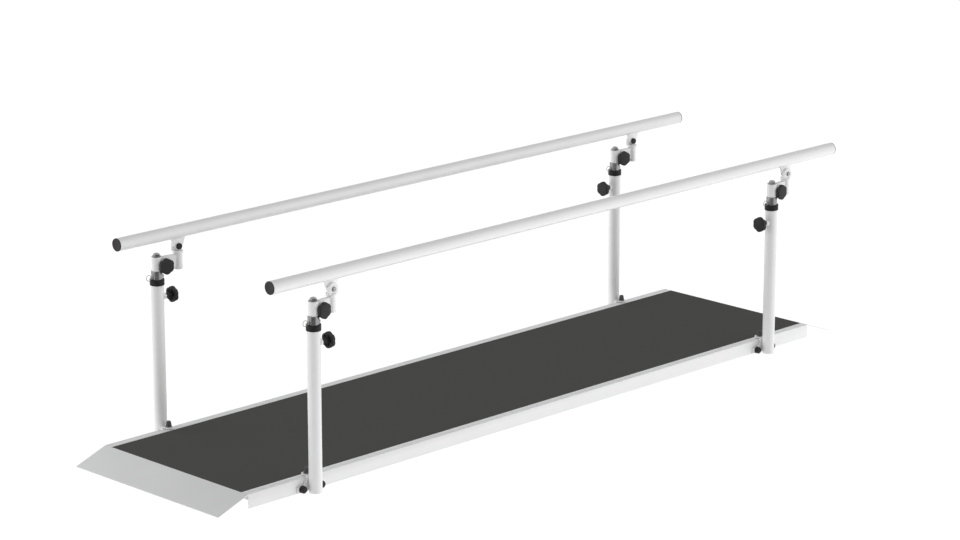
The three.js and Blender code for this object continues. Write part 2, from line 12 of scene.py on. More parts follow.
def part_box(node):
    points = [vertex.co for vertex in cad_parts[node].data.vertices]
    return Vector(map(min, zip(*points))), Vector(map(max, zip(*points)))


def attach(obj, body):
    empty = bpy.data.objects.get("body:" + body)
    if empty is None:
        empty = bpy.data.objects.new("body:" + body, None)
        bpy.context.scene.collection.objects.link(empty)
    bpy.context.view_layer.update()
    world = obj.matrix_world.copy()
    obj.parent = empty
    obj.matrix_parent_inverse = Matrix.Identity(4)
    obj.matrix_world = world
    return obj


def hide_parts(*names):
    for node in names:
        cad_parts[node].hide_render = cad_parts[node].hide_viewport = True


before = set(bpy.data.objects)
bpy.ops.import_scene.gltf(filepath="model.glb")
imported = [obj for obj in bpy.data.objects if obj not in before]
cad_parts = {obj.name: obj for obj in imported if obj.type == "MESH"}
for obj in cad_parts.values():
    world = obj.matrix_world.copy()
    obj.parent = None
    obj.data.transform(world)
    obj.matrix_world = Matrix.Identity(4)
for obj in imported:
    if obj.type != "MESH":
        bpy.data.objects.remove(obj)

bl_info = {
    "name": "Walking Parallel Bars",
    "version": (1, 0, 0),
    "blender": (4, 5, 0),
    "location": "3D View > Sidebar > Parallel Bars",
    "description": "Models and finishes height-adjustable walking bars on a platform with ramps",
    "category": "Add Mesh",
}

MM = 0.001
SIDES = {"front": -1, "back": 1}
ENDS = {"left": -1, "right": 1}
CORNERS = [(side, end) for side in SIDES for end in ENDS]
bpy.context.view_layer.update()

# Heights above the floor at the lowest setting, in millimetres
POST_TOP = 607.1
COLLAR_TOP = 611.1
PIN_HEIGHT = 617.4
SHOULDER = 641.1
HUB_BOTTOM = 641.4
HUB_TOP = 693.2
END_TUBE_BOTTOM = 633.4
PIVOT_HEIGHT = 718.2
RAIL_HEIGHT = 773.2
HEIGHT_KNOB_HEIGHT = 540.1
ARM_KNOB_HEIGHT = 658.9
DECK_EDGE = 52.5
TAB_BOTTOM = 55.5
TAB_TOP = 59.5
BOLT_HEIGHT = 16
BOLT_REACH = 43
HOOK_WASHER = 3.4

# Lengths that the pieces share, in millimetres
POST_SPAN = 2434
PLATFORM_END = 1499
MAT_END = 1500.2
MAT_OVER_LIP = 1.4
ARM_REACH = 93
RAIL_INSET = 10.2
RAIL_END = 1500
RAMP_GAP = 1.4
BRACKET_FACE = 23.2
TAB_BOLT_REACH = 45.7
BOLT_HOLE = 10.6
ARM_KNOB_REACH = 24
ARM_TURN = math.asin(RAIL_INSET / ARM_REACH)
ARM_ALONG = ARM_REACH * math.cos(ARM_TURN)

# Turns that lay a piece made along Z along another axis
TO_RIGHT = (0, math.pi / 2, 0)
TO_FRONT = (math.pi / 2, 0, 0)
TO_BACK = (-math.pi / 2, 0, 0)

# Material slots with the finish that most of their pieces have
PAINT = ("white_paint", "powder_coat")
ZINC = ("bare_steel", "zinc_steel")
BLACK = ("black_plastic", "moulded_black")

# The photograph's camera, in metres and radians
CAMERA_PLACE = (-8.5378, -8.5642, 3.7379)
CAMERA_TURN = (math.pi / 2 - 0.2622, 0, -0.7846)
CAMERA_LENS = 123.94
SENSOR_WIDTH = 36


# Settings

def setting(name, description, value, kind=bpy.props.FloatProperty, **limits):
    return kind(name=name, description=description, default=value, **limits)


def length(name, description, value):
    return setting(name, description, value * MM, min=0, unit="LENGTH", precision=4)


def share(name, description, value):
    return setting(name, description, value, min=0, max=1, subtype="FACTOR")


def colour(name, description, value):
    kind = bpy.props.FloatVectorProperty
    return setting(name, description, value, kind, min=0, max=1, size=3, subtype="COLOR")


class BarsSizes(PropertyGroup):
    rail_diameter: length("Rail", "Outer diameter of the hand rail", 48)
    rail_wall: length("Rail wall", "Wall of the hand rail's tube", 2)
    post_diameter: length("Post", "Outer diameter of the posts", 48)
    post_wall: length("Post wall", "Wall of the posts", 2)
    inner_diameter: length("Inner tube", "Outer diameter of the telescopic tubes", 42.4)
    inner_wall: length("Inner wall", "Wall of the telescopic tubes", 2.5)
    collar_diameter: length("Collar", "Outer diameter of the guide collars", 54)
    hub_diameter: length("Arm hub", "Outer diameter of the swing arm's hub", 38)
    end_tube_diameter: length("Arm end", "Outer diameter of the tube at the arm's end", 32)
    knob_diameter: length("Knob", "Diameter over the lobes of the clamp knobs", 60)
    knob_thickness: length("Knob thickness", "Thickness of the clamp knobs", 16)
    lobe_depth: length("Lobe depth", "How deep the valleys between the lobes are", 3.6)
    ring_diameter: length("Pull ring", "Middle diameter of the lock pin's ring", 21)
    knob_lobes: setting("Knob lobes", "Number of lobes", 6, bpy.props.IntProperty, min=3, max=12)


class BarsFinishes(PropertyGroup):
    paint: colour("Powder coat", "Colour of the painted tubes and arms", (0.86, 0.866, 0.86))
    profile: colour("Platform frame", "Colour of the side rails", (0.86, 0.866, 0.862))
    ramp: colour("Ramps", "Colour of the ramp sheets", (0.84, 0.85, 0.845))
    mat: colour("Mat", "Colour of the non-slip mat", (0.109, 0.109, 0.104))
    steel: colour("Steel", "Colour of the bare steel", (0.36, 0.362, 0.358))
    # The pivot bolts' faces are lighter than the bare steel of their rims: a painted highlight.
    painted_bolt_highlight: colour("Bolt faces", "Colour of the pivot bolts' ground faces", (0.6, 0.6, 0.59))
    plastic: colour("Black plastic", "Colour of collars and caps", (0.019, 0.019, 0.0185))
    knob: colour("Knobs", "Colour of the clamp knobs", (0.026, 0.0265, 0.026))
    cap: colour("End caps", "Colour of the caps in the hand rails", (0.03, 0.0305, 0.03))
    hook_cap: colour("Tab caps", "Colour of the caps on the foot tabs", (0.085, 0.0855, 0.084))
    deck: colour("Deck", "Colour of the laminated deck", (0.67, 0.67, 0.64))
    paint_roughness: share("Paint roughness", "Roughness of the powder coat", 0.34)


class BarsStage(PropertyGroup):
    floor_size: setting("Floor", "Width of the floor", 120, min=10, unit="LENGTH")
    top_light: share("Top light", "Level of the light from above", 0.52)
    side_light: setting("Side light", "Level of the light from the sides", 2.65, min=0, max=4)
    floor_light: setting("Floor light", "Level of the light from below", 1.67, min=0, max=3)
    front_shade: share("Front shade", "Share of the light from front and back held back", 0.73)


# Modelling by hand: every helper leaves one piece, active and in object mode

def alone(piece=None):
    """Object mode, with only this piece selected."""
    active = bpy.context.view_layer.objects.active
    if active is not None and active.mode != "OBJECT":
        bpy.ops.object.mode_set(mode="OBJECT")
    bpy.ops.object.select_all(action="DESELECT")
    if piece is not None:
        piece.select_set(True)
        bpy.context.view_layer.objects.active = piece
    return piece


def named(name):
    piece = bpy.context.view_layer.objects.active
    piece.name = piece.data.name = name
    return piece


def edit(kind="VERT"):
    bpy.ops.object.mode_set(mode="EDIT")
    bpy.ops.mesh.select_mode(type=kind)


def done():
    bpy.ops.object.mode_set(mode="OBJECT")
    return bpy.context.view_layer.objects.active


def settle(piece):
    """Puts the piece's place, turn and scale into its mesh."""
    alone(piece)
    bpy.ops.object.transform_apply(location=True, rotation=True, scale=True)
    return piece


def moved(piece, turn=(0, 0, 0), place=(0, 0, 0)):
    """Turns the piece about the origin, moves it by millimetres, and settles it."""
    piece.rotation_euler = turn
    piece.location = Vector(place) * MM
    return settle(piece)


def line_of(points):
    """Draws a wire through the points, in millimetres, and leaves it in edit mode."""
    alone()
    bpy.ops.mesh.primitive_plane_add(size=MM)
    edit()
    bpy.ops.mesh.select_all(action="SELECT")
    bpy.ops.mesh.merge(type="CENTER")
    bpy.ops.transform.translate(value=Vector(points[0]) * MM)
    for start, end in zip(points, points[1:]):
        step = (Vector(end) - Vector(start)) * MM
        bpy.ops.mesh.extrude_region_move(TRANSFORM_OT_translate={"value": step})
    bpy.ops.mesh.select_all(action="SELECT")


def tidy_faces():
    """Merges doubles and turns the faces outwards, in edit mode."""
    bpy.ops.mesh.select_all(action="SELECT")
    bpy.ops.mesh.remove_doubles(threshold=0.001 * MM)
    bpy.ops.mesh.normals_make_consistent(inside=False)


def turned(name, profile, steps=64):
    """A round piece: [radius, height] points drawn as a wire and spun about Z."""
    line_of([(radius, 0, height) for radius, height in profile])
    bpy.ops.mesh.spin(steps=steps, angle=2 * math.pi, center=(0, 0, 0), axis=(0, 0, 1))
    tidy_faces()
    done()
    return named(name)


def plate(name, outline, low, high, along="Y"):
    """A flat piece: an outline filled and pulled from low to high along Y, Z or X."""
    place = {
        "Y": lambda u, v, w: (u, w, v),
        "Z": lambda u, v, w: (u, v, w),
        "X": lambda u, v, w: (w, u, v),
    }[along]
    line_of([place(u, v, low) for u, v in outline])
    bpy.ops.mesh.edge_face_add()
    bpy.ops.mesh.extrude_region_move(
        TRANSFORM_OT_translate={"value": Vector(place(0, 0, high - low)) * MM}
    )
    tidy_faces()
    done()
    return named(name)


def block(name, low, high):
    """A rectangular bar between two corners, in millimetres."""
    alone()
    low, high = Vector(low) * MM, Vector(high) * MM
    bpy.ops.mesh.primitive_cube_add(size=1, location=(low + high) / 2)
    piece = named(name)
    piece.scale = high - low
    return settle(piece)


def rod(name, diameter, low, high, steps=48):
    return turned(name, [(0, low), (diameter / 2, low), (diameter / 2, high), (0, high)], steps)


def drilled(piece, diameter, low, high, steps, turn=(0, 0, 0), place=(0, 0, 0)):
    """Cuts a round hole with a drill along Z that is turned and set in its place."""
    return cut(piece, moved(rod("drill", diameter, low, high, steps), turn, place))


def soften(piece, offset, segments=2, sharpness=30, where=None):
    """Rounds the sharp edges of a piece, or those of them whose middle passes the test."""
    alone(piece)
    edit("EDGE")
    bpy.ops.mesh.select_all(action="DESELECT")
    bpy.ops.mesh.edges_select_sharp(sharpness=math.radians(sharpness))
    if where is not None:
        shape = bmesh.from_edit_mesh(piece.data)
        for edge in [e for e in shape.edges if e.select]:
            middle = (edge.verts[0].co + edge.verts[1].co) / 2 / MM
            if not where(middle):
                edge.select_set(False)
        bmesh.update_edit_mesh(piece.data)
    bpy.ops.mesh.bevel(offset=offset * MM, segments=segments, affect="EDGES", clamp_overlap=True)
    done()
    return piece


def combine(piece, other, operation):
    """Joins the other shape to the piece, or cuts it away, and removes it."""
    alone(piece)
    bpy.ops.object.modifier_add(type="BOOLEAN")
    modifier = piece.modifiers[-1]
    modifier.operation = operation
    modifier.solver = "EXACT"
    modifier.object = other
    bpy.ops.object.modifier_apply(modifier=modifier.name)
    bpy.data.objects.remove(other)
    if not piece.data.polygons:
        raise RuntimeError(f"{piece.name} lost its faces in a boolean")
    return piece


def joined(piece, *others):
    for other in others:
        combine(piece, other, "UNION")
    return piece


def cut(piece, *tools):
    for tool in tools:
        combine(piece, tool, "DIFFERENCE")
    return piece


def gathered(piece, *others):
    """Puts shapes that only touch into one object."""
    alone(piece)
    for other in others:
        other.select_set(True)
    bpy.ops.object.join()
    return piece


def smooth(piece, angle=32):
    alone(piece)
    bpy.ops.object.shade_smooth_by_angle(angle=math.radians(angle))
    return piece


def welded(piece, first, *others):
    """Puts weld beads on a piece; their ripples are shaded softly."""
    smooth(piece)
    if others:
        gathered(first, *others)
    return gathered(piece, smooth(first, 60))


def arc(centre, radius, start, end, steps=4):
    """Points of an arc between two angles in degrees."""
    angles = [math.radians(start + (end - start) * step / steps) for step in range(steps + 1)]
    return [(centre[0] + radius * math.cos(a), centre[1] + radius * math.sin(a)) for a in angles]


def bent(start, corner, end, steps):
    """Points of a curve that leaves the start towards the corner and arrives from there."""
    start, corner, end = Vector(start), Vector(corner), Vector(end)
    shares = [step / steps for step in range(steps + 1)]
    return [tuple(start.lerp(corner, t).lerp(corner.lerp(end, t), t)) for t in shares]


def eased(before, corner, after, reach):
    """Points of a rounded corner that starts and ends at this reach from it."""
    before, corner, after = Vector(before), Vector(corner), Vector(after)
    start = corner + (before - corner).normalized() * reach
    end = corner + (after - corner).normalized() * reach
    return bent(start, corner, end, 4)


def bead(start, end, radius=1.5):
    """A rippled weld bead between two points, in millimetres."""
    start, end = Vector(start), Vector(end)
    run, pitch, cap, valley = (end - start).length, 2.6, radius * 0.6, radius * 0.84
    steps = 2 * max(2, round(run / pitch))
    ripples = [(radius if step % 2 else valley, run * step / steps) for step in range(steps + 1)]
    weld = turned("bead", [(0, -cap), *ripples, (0, run + cap)], 10)
    turn = (end - start).to_track_quat("Z", "Y").to_matrix().to_4x4()
    weld.matrix_world = Matrix.Translation(start * MM) @ turn
    return settle(weld)


def copied(model, name, turn=0, place=(0, 0, 0)):
    """A copy of a modelled piece with its own mesh, turned about Z and set in its place."""
    alone(model)
    bpy.ops.object.duplicate()
    piece = named(name)
    return moved(piece, (0, 0, turn), place)


def fitted(piece, body, slot, finish, *nodes):
    """Finishes a piece, lets it ride on its body, and hides the solids that it stands for."""
    piece.data.materials.clear()
    piece.data.materials.append(bpy.data.materials[finish])
    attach(piece, body)
    if nodes:
        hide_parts(*nodes)
    return piece


def corner_place(side, end):
    """Where a corner's post stands, taken from its collar."""
    low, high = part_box(f"{side}_{end}_collar")
    middle = (low + high) / 2 / MM
    return Vector((middle.x, middle.y, 0))


def half_turn(on):
    """Half a turn about Z where the condition holds, otherwise none."""
    return math.pi if on else 0


def at_corners(model, part, slot, finish, body=None, node=None, turn_of=None, shift_of=None):
    """Copies a modelled piece to the four corners and removes the model."""
    for side, end in CORNERS:
        corner = f"{side}_{end}"
        ways = SIDES[side], ENDS[end]
        turn = turn_of(*ways) if turn_of else 0
        shift = Vector(shift_of(*ways)) if shift_of else Vector()
        piece = copied(model, f"{corner}.{part}", turn, corner_place(side, end) + shift)
        nodes = [f"{corner}_{node}"] if node else []
        fitted(piece, f"{corner}_{body}" if body else "platform", slot, finish, *nodes)
    bpy.data.objects.remove(model)


# Finishes

class Nodes:
    """The nodes of a material or of the world, under construction."""

    def __init__(self, owner):
        owner.use_nodes = True
        self.tree = owner.node_tree
        self.tree.nodes.clear()

    def feed(self, socket, value):
        """Links an output to a socket, or gives the socket a value."""
        if isinstance(value, NodeSocket):
            self.tree.links.new(value, socket)
        else:
            socket.default_value = value

    def node(self, kind, inputs=None, **values):
        """Adds a shader node; each input is a value, or an output to link."""
        made = self.tree.nodes.new(f"ShaderNode{kind}")
        for name, value in values.items():
            setattr(made, name, value)
        for name, value in (inputs or {}).items():
            self.feed(made.inputs[name], value)
        return made

    def calculated(self, operation, *values):
        """The result of a calculation with one or two values."""
        made = self.node("Math", dict(enumerate(values)), operation=operation)
        return made.outputs[0]

    def ranged(self, value, low, high, start=0.3, end=0.7, kind="LINEAR"):
        """Maps what lies between start and end to what lies between low and high."""
        inputs = {"From Min": start, "From Max": end, "To Min": low, "To Max": high, "Value": value}
        return self.node("MapRange", inputs, interpolation_type=kind).outputs["Result"]

    def seen_by_eye(self):
        """1 for what is seen directly, in a reflection or through glass."""
        path = self.node("LightPath")
        value = path.outputs["Is Camera Ray"]
        for name in ("Is Glossy Ray", "Is Transmission Ray"):
            value = self.calculated("MAXIMUM", value, path.outputs[name])
        return value


class Finish(Nodes):
    """A shader whose colour, roughness and surface vary over the object."""

    def __init__(self, name, base, roughness, metallic=0):
        super().__init__(bpy.data.materials.new(name))
        self.base = base
        self.normal = None
        self.place = self.node("TexCoord").outputs["Object"]
        inputs = {"Base Color": (*base, 1), "Roughness": roughness, "Metallic": metallic}
        self.shader = self.node("BsdfPrincipled", inputs)
        self.node("OutputMaterial", {"Surface": self.shader.outputs["BSDF"]})

    def noise(self, scale, detail=3, stretch=(1, 1, 1), roughness=0.5):
        """Noise over the object's coordinates, with each axis scaled."""
        mapping = self.node("Mapping", {"Scale": stretch, "Vector": self.place})
        inputs = {"Scale": scale, "Detail": detail, "Roughness": roughness}
        inputs["Vector"] = mapping.outputs["Vector"]
        return self.node("TexNoise", inputs).outputs["Fac"]

    def tinted(self, value, dark, light):
        """Lets the colour vary between two shares of the base."""
        dark, light = ((*(min(1, c * tone) for c in self.base), 1) for tone in (dark, light))
        inputs = {0: self.ranged(value, 0, 1), 6: dark, 7: light}
        mix = self.node("Mix", inputs, data_type="RGBA")
        self.feed(self.shader.inputs["Base Color"], mix.outputs[2])

    def rough(self, value, low, high):
        self.feed(self.shader.inputs["Roughness"], self.ranged(value, low, high))

    def bumped(self, value, distance, strength):
        """Adds a bump, its distance in millimetres, over those that are there."""
        inputs = {"Distance": distance * MM, "Strength": strength, "Height": value}
        if self.normal is not None:
            inputs["Normal"] = self.normal
        self.normal = self.node("Bump", inputs).outputs["Normal"]
        self.feed(self.shader.inputs["Normal"], self.normal)


def powder_coat(name, base, roughness):
    finish = Finish(name, base, roughness)
    finish.tinted(finish.noise(9, 2), 0.975, 1.0)
    finish.rough(finish.noise(60, 3), roughness - 0.03, roughness + 0.05)
    finish.bumped(finish.noise(1100, 2), 0.02, 0.35)
    finish.bumped(finish.noise(260, 2), 0.05, 0.2)


def sheet_metal(name, base):
    finish = Finish(name, base, 0.45)
    finish.tinted(finish.noise(6, 2), 0.97, 1.0)
    finish.rough(finish.noise(30, 4, (1, 0.15, 1)), 0.4, 0.52)
    finish.bumped(finish.noise(700, 2, (1, 0.25, 1)), 0.02, 0.3)


def mat_rubber(name, base):
    finish = Finish(name, base, 0.85)
    inputs = {"Scale": 620, "Smoothness": 0.6, "Vector": finish.place}
    cells = finish.node("TexVoronoi", inputs, feature="SMOOTH_F1")
    grain = finish.noise(420, 4, roughness=0.7)
    finish.tinted(grain, 0.9, 1.08)
    finish.rough(finish.noise(12, 3), 0.8, 0.92)
    finish.bumped(cells.outputs["Distance"], 0.2, 0.35)
    finish.bumped(grain, 0.1, 0.3)
    finish.shader.inputs["Specular IOR Level"].default_value = 0


def bare_steel(name, base, stretch):
    finish = Finish(name, base, 0.3, 1)
    streaks = finish.noise(900, 3, stretch)
    finish.tinted(finish.noise(70, 3), 0.8, 1.1)
    finish.rough(streaks, 0.22, 0.4)
    finish.bumped(streaks, 0.02, 0.3)


# Lighter, less metallic steel for the faces of the pivot bolts' heads: a painted highlight on the
# same steel as their rims.
def ground_steel(name, base):
    finish = Finish(name, base, 0.5, 0.2)
    finish.tinted(finish.noise(300, 3), 0.88, 1.05)
    finish.rough(finish.noise(500, 3), 0.42, 0.6)
    finish.bumped(finish.noise(900, 2), 0.02, 0.4)


def moulded_plastic(name, base, grain=1500, depth=0.04):
    finish = Finish(name, base, 0.48)
    finish.tinted(finish.noise(40, 2), 0.85, 1.15)
    finish.rough(finish.noise(200, 3), 0.42, 0.55)
    finish.bumped(finish.noise(grain, 2), depth, 0.5)
    finish.shader.inputs["Specular IOR Level"].default_value = 0.22


def laminate(name, base):
    finish = Finish(name, base, 0.5)
    fibres = finish.noise(160, 4, (0.15, 1, 1), 0.6)
    finish.tinted(fibres, 0.95, 1.0)
    finish.rough(finish.noise(25, 3), 0.42, 0.6)
    finish.bumped(fibres, 0.03, 0.3)


class BarsFinishMaterials(Operator):
    """Make the materials and give the hidden deck pieces theirs"""

    bl_idname = "bars.finishes"
    bl_label = "Finishes"

    def execute(self, context):
        tones = context.scene.bars_finishes
        powder_coat("powder_coat", tones.paint, tones.paint_roughness)
        powder_coat("frame_coat", tones.profile, tones.paint_roughness + 0.06)
        sheet_metal("rolled_sheet", tones.ramp)
        mat_rubber("grained_rubber", tones.mat)
        bare_steel("drawn_steel", tones.steel, (1, 1, 0.03))
        bare_steel("zinc_steel", tones.steel, (1, 1, 1))
        # The bolt faces' lighter steel is a painted highlight.
        ground_steel("ground_steel", tones.painted_bolt_highlight)
        moulded_plastic("moulded_black", tones.plastic)
        moulded_plastic("moulded_knob", tones.knob, 900, 0.05)
        moulded_plastic("moulded_cap", tones.cap, 1200, 0.03)
        moulded_plastic("moulded_grey", tones.hook_cap, 1200, 0.03)
        laminate("pale_laminate", tones.deck)
        kept = {"deck_board": "pale_laminate"}
        for place in ("left", "middle", "right"):
            kept[f"cross_member_{place}"] = "frame_coat"
        for node, finish in kept.items():
            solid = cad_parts[node]
            if not solid.material_slots:
                solid.data.materials.append(bpy.data.materials[finish])
            for slot in solid.material_slots:
                slot.material = bpy.data.materials[finish]
        return {"FINISHED"}


# Platform

def side_rail_model():
    """The front side rail: an angle with a groove along its flange and holes for the bolts."""
    low, high = (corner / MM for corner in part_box("front_side_rail"))
    wall, flange, thickness, groove, inset, depth, bolt = 3, 35, 3.3, 2, 12, 1, 13.4
    near, top = low.y, high.z
    outline = [
        (near, 0), (near + wall, 0), (near + wall, top - thickness),
        (near + flange, top - thickness), (near + flange, top), (near + inset + groove, top),
        (near + inset + groove, top - depth), (near + inset, top - depth), (near + inset, top),
        (near, top),
    ]
    rail = plate("side_rail", outline, low.x, high.x, "X")
    soften(rail, 0.45, 2, 40)
    for end in ENDS.values():
        post = end * POST_SPAN / 2
        drilled(rail, BOLT_HOLE, top - 6, top + 2, 24, place=(post, near + bolt, 0))
        for x in (post - BOLT_REACH, post + BOLT_REACH):
            drilled(rail, BOLT_HOLE, -2, 6, 24, TO_BACK, (x, near, BOLT_HEIGHT))
    return smooth(rail)


class BarsSideRails(Operator):
    """Model the two side rails of the platform"""

    bl_idname = "bars.side_rails"
    bl_label = "Side rails"

    def execute(self, context):
        model = side_rail_model()
        for side, way in SIDES.items():
            rail = copied(model, f"{side}.side_rail", half_turn(way > 0))
            fitted(rail, "platform", "aluminium_profile", "frame_coat", f"{side}_side_rail")
        bpy.data.objects.remove(model)
        return {"FINISHED"}


class BarsMat(Operator):
    """Model the non-slip mat"""

    bl_idname = "bars.mat"
    bl_label = "Mat"

    def execute(self, context):
        low, high = (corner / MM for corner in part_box("mat"))
        under = high.z - MAT_OVER_LIP
        outline = [
            (low.x, low.z), (high.x, low.z), (high.x, under), (MAT_END, under), (MAT_END, high.z),
            (-MAT_END, high.z), (-MAT_END, under), (low.x, under),
        ]
        mat = plate("mat_cover", outline, low.y, high.y)
        alone(mat)
        edit("FACE")
        shape = bmesh.from_edit_mesh(mat.data)
        for face in shape.faces:
            face.select_set(face.normal.z > 0.5)
        bmesh.update_edit_mesh(mat.data)
        bpy.ops.mesh.inset(thickness=4 * MM)
        done()
        soften(mat, 0.4, 2, 40)
        fitted(smooth(mat), "platform", "mat_rubber", "grained_rubber", "mat")
        return {"FINISHED"}


def ramp_model():
    """The right ramp: a bent sheet with a lip under the mat's end, notched for the flanges."""
    low, high = (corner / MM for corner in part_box("right_ramp"))
    sheet, toe_height, bend, flange = 3, 3, 4, 35.3
    start, toe, top = MAT_END + RAMP_GAP, high.x, high.z
    slope = (top - toe_height) / (toe - start)
    drop = sheet * math.hypot(1, slope)
    fall = bend * slope
    lip_top = top - MAT_OVER_LIP - 0.1
    outline = [
        (low.x, top - sheet), (start - bend, top - sheet),
        (start + bend * 0.3, top - sheet - fall * 0.6), (start + (top - drop) / slope, 0),
        (toe - 0.25, 0), (toe, 0.25), (toe, 2.6), (toe - 0.6, toe_height + 0.5 * slope),
        *bent((start + bend, top - fall), (start, top), (MAT_END + 0.5, top), 8),
        (MAT_END + 0.1, top - 0.3), (MAT_END + 0.1, lip_top), (low.x, lip_top),
    ]
    ramp = plate("ramp", outline, low.y, high.y, "Y")
    notch_end = PLATFORM_END + 0.3
    for way in (-1, 1):
        near, far = sorted((way * (high.y - flange), way * (high.y + 5)))
        cut(ramp, block("notch", (low.x - 1, near, -1), (notch_end, far, top + 5)))
    soften(ramp, 0.35, 2, 50, lambda p: p.z > 4)
    return smooth(ramp, 25)


class BarsRamps(Operator):
    """Model the two ramps"""

    bl_idname = "bars.ramps"
    bl_label = "Ramps"

    def execute(self, context):
        model = ramp_model()
        for end, way in ENDS.items():
            ramp = copied(model, f"{end}.ramp", half_turn(way < 0))
            fitted(ramp, "platform", "ramp_sheet", "rolled_sheet", f"{end}_ramp")
        bpy.data.objects.remove(model)
        return {"FINISHED"}


# Posts. A corner's pieces are modelled round its post axis, with the platform on the +Y side

def foot_bracket():
    """The flared plate between post and side rail, and the tab that stands over the flange."""
    foot, neck, bottom, shoulder, back = 61, 17, 3, 24, 32
    flare = bent((foot, shoulder), (neck, shoulder), (neck, TAB_TOP), 12)
    mirrored = [(-x, z) for x, z in reversed(flare)]
    outline = [(-foot, bottom), (foot, bottom), *flare, *mirrored]
    bracket = plate("bracket", outline, BRACKET_FACE, back, "Y")
    soften(bracket, 0.8, 2, 35)
    half, end, corner = 16, 66.8, 15
    outline = [
        (-half, BRACKET_FACE), (half, BRACKET_FACE),
        *arc((half - corner, end - corner), corner, 0, 90, 10),
        *arc((corner - half, end - corner), corner, 90, 180, 10),
    ]
    tab = plate("tab", outline, TAB_BOTTOM, TAB_TOP, "Z")
    soften(tab, 0.9, 2, 35)
    return bracket, tab


def post_model(sizes):
    outer = sizes.post_diameter / 2 / MM
    inner = outer - sizes.post_wall / MM
    profile = [
        (0, 0), *arc((outer - 2.5, 2.5), 2.5, -90, 0, 5),
        *arc((outer - 0.5, POST_TOP - 0.5), 0.5, 0, 90, 3), (inner, POST_TOP), (inner, 4), (0, 4),
    ]
    return turned("post", profile, 72)


def hook_bolt_model():
    """The tab's bolt: its shank down to the side rail, and the washer that its cap stands on."""
    shank = rod("hook_bolt", 10, DECK_EDGE - 3.3, TAB_BOTTOM + 1, 32)
    top = TAB_TOP + HOOK_WASHER
    washer = turned("hook_washer", [
        (0, TAB_TOP), (12.3, TAB_TOP), *arc((11.9, TAB_TOP + 0.6), 0.6, -60, 0, 3),
        *arc((11.9, top - 0.6), 0.6, 0, 90, 4), (0, top),
    ], 48)
    return moved(smooth(gathered(shank, washer)), place=(0, TAB_BOLT_REACH, 0))


def boss_model():
    """The threaded boss for the height knob's stud, with its fillet on the post."""
    profile = [
        (5.4, 22.5), (14, 22.5), (13.2, 24.6), (11.9, 25.4), (11.2, 26.6), (11, 28.5), (11, 34.9),
        *arc((10, 35), 1, 0, 90, 3), (6.2, 36), (5.4, 35.2), (5.4, 22.5),
    ]
    return moved(turned("boss", profile, 40), TO_RIGHT, (0, 0, HEIGHT_KNOB_HEIGHT))


class BarsPosts(Operator):
    """Model the four posts with their foot brackets and bosses"""

    bl_idname = "bars.posts"
    bl_label = "Posts"

    def execute(self, context):
        sizes = context.scene.bars_sizes
        for side, end in CORNERS:
            corner = f"{side}_{end}"
            post = post_model(sizes)
            bracket, tab = foot_bracket()
            for part in (bracket, tab):
                moved(part, (0, 0, half_turn(SIDES[side] > 0)))
            joined(post, bracket, tab)
            around = (0, 0, half_turn(ENDS[end] > 0))
            joined(post, moved(boss_model(), around))
            drill = moved(rod("drill", 10.8, 18, 40, 32), TO_RIGHT, (0, 0, HEIGHT_KNOB_HEIGHT))
            cut(post, moved(drill, around))
            face = -SIDES[side] * BRACKET_FACE
            beads = [bead((x, face, 6), (x, face, 54), 1.6) for x in (-8.6, 8.6)]
            welded(post, *beads)
            post.name = post.data.name = f"{corner}.post"
            moved(post, place=corner_place(side, end))
            fitted(post, "platform", *PAINT, f"{corner}_post")
        return {"FINISHED"}


def nut_cap_model(radius, height, taper=1):
    """A cap over a nut, along Z: round flange, tapered body, rounded shoulder, flat crown."""
    body = radius - 0.9
    crown = body * taper
    shoulder = radius * 0.5
    return smooth(turned("nut_cap", [
        (0, 0), (radius - 0.7, 0), *arc((radius - 0.8, 0.8), 0.8, -90, 90, 5), (body, 2.2),
        *arc((crown - shoulder, height - shoulder - 0.5), shoulder, 0, 78, 8),
        (crown - shoulder - 1, height - 0.1), (0, height),
    ], 48), 40)


class BarsNutCaps(Operator):
    """Model the black caps over the bolts of the foot brackets"""

    bl_idname = "bars.nut_caps"
    bl_label = "Nut caps"

    def execute(self, context):
        bolt_model, cap_model = hook_bolt_model(), nut_cap_model(14, 18)
        hook_model = nut_cap_model(11.5, 24 - HOOK_WASHER, 0.84)
        for side, end in CORNERS:
            corner, way, axis = f"{side}_{end}", SIDES[side], corner_place(side, end)
            bolt = copied(bolt_model, f"{corner}.hook_bolt", half_turn(way > 0), axis)
            fitted(bolt, "platform", *ZINC)
            place = axis + Vector((0, -way * TAB_BOLT_REACH, TAB_TOP + HOOK_WASHER))
            hook = copied(hook_model, f"{corner}.hook_cap", 0, place)
            fitted(hook, "platform", "black_plastic", "moulded_grey")
            for name, reach in (("outer", BOLT_REACH), ("inner", -BOLT_REACH)):
                cap = copied(cap_model, f"{corner}.{name}_cap")
                shift = Vector((ENDS[end] * reach, -way * BRACKET_FACE, BOLT_HEIGHT))
                moved(cap, (-way * math.pi / 2, 0, 0), axis + shift)
                fitted(cap, "platform", "black_plastic", "moulded_knob")
        for model in (bolt_model, hook_model, cap_model):
            bpy.data.objects.remove(model)
        return {"FINISHED"}


